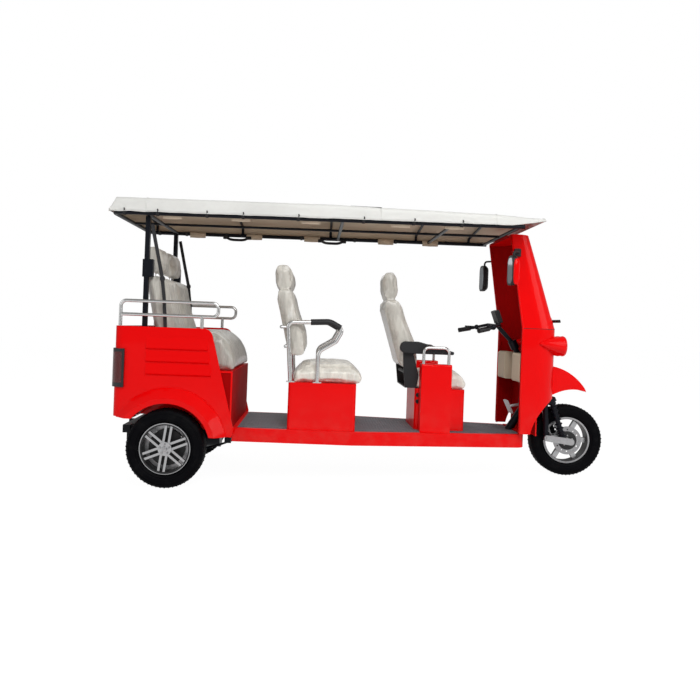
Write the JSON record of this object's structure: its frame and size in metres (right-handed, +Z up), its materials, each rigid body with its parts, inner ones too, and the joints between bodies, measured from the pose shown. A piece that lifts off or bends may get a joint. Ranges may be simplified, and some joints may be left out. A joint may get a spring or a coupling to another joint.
{
  "type": "auto rickshaw",
  "caption": "Long open-sided electric passenger tricycle with fabric canopy, cushioned seat rows, red fairing, handlebar steering and leaf-sprung rear axle.",
  "frame": {"origin": "on the road below the middle of the overall length", "axes": "+X forward, +Y to the left, +Z up"},
  "size_m": [3.4129, 1.14, 1.9108],
  "materials": {
    "red_body": "glossy red paint",
    "black_steel": "satin black paint",
    "canopy_fabric": "off-white coated fabric",
    "seat_vinyl": "cream vinyl under clear wrap",
    "deck_rubber": "grey ribbed mat",
    "stainless": "polished stainless tube",
    "black_plastic": "textured black",
    "beige_plastic": "beige moulding",
    "tyre_rubber": "road tyre",
    "alloy": "machined and black cast alloy",
    "steel": "bare steel",
    "clear_glass": "laminated clear glass",
    "lamp_lens": "clear lens",
    "tail_lens": "red lens in black housing",
    "belt_web": "black webbing",
    "battery_case": "grey case"
  },
  "bodies": {
    "chassis": {"chassis_frame": "black_steel", "floor_sill": "red_body", "floor_deck": "deck_rubber", "rear_panel": "red_body", "rear_side_left": "red_body", "rear_side_right": "red_body", "tail_lamps": "tail_lens", "rear_seat_base": "red_body", "battery_pack": "battery_case", "rear_seat_cushion": "seat_vinyl", "rear_seat_backs": "seat_vinyl", "seat_belts": "belt_web", "luggage_rails": "stainless", "roof_posts": "black_steel", "roof_frame": "black_steel", "canopy": "canopy_fabric", "middle_seat_box": "red_body", "middle_seat_cushion": "seat_vinyl", "middle_seat_backs": "seat_vinyl", "middle_armrests": "stainless", "middle_armrest_grips": "black_plastic", "driver_seat_box": "red_body", "driver_side_boxes": "red_body", "driver_grab_hoops": "stainless", "driver_seat_cushion": "seat_vinyl", "driver_seat_back": "seat_vinyl", "driver_seat_frame": "black_plastic", "fairing_lower": "red_body", "fairing_upper": "red_body", "windscreen": "clear_glass", "leg_shield": "red_body", "storage_boxes": "beige_plastic", "front_fender": "red_body", "headlamp_lenses": "lamp_lens", "mirrors": "black_plastic", "wiper": "black_plastic", "brake_pedal": "steel", "rear_axle": "black_steel", "leaf_springs": "black_steel"},
    "steering": {"steering_fork": "black_steel", "front_shocks": "black_steel", "front_links": "steel", "handlebar": "black_steel", "handlebar_grips": "black_plastic", "handlebar_display": "black_plastic"},
    "front_wheel": {"front_tyre": "tyre_rubber", "front_rim": "alloy", "front_brake_disc": "steel"},
    "rear_wheel_right": {"rear_tyre_right": "tyre_rubber", "rear_rim_right": "alloy"},
    "rear_wheel_left": {"rear_tyre_left": "tyre_rubber", "rear_rim_left": "alloy"}
  },
  "joints": [
    {"name": "steering", "type": "hinge", "parent": "chassis", "child": "steering", "pos_m": [1.18312, 0, 0.71513], "axis": [-0.4321, 0, 0.9018], "range_deg": [-30, 30]},
    {"name": "front_wheel", "type": "hinge", "parent": "steering", "child": "front_wheel", "pos_m": [1.45247, 0, 0.254], "axis": [0, 1, 0], "continuous": true},
    {"name": "rear_wheel_right", "type": "hinge", "parent": "chassis", "child": "rear_wheel_right", "pos_m": [-1.30953, -0.5, 0.254], "axis": [0, 1, 0], "continuous": true},
    {"name": "rear_wheel_left", "type": "hinge", "parent": "chassis", "child": "rear_wheel_left", "pos_m": [-1.30953, 0.5, 0.254], "axis": [0, 1, 0], "continuous": true}
  ]
}
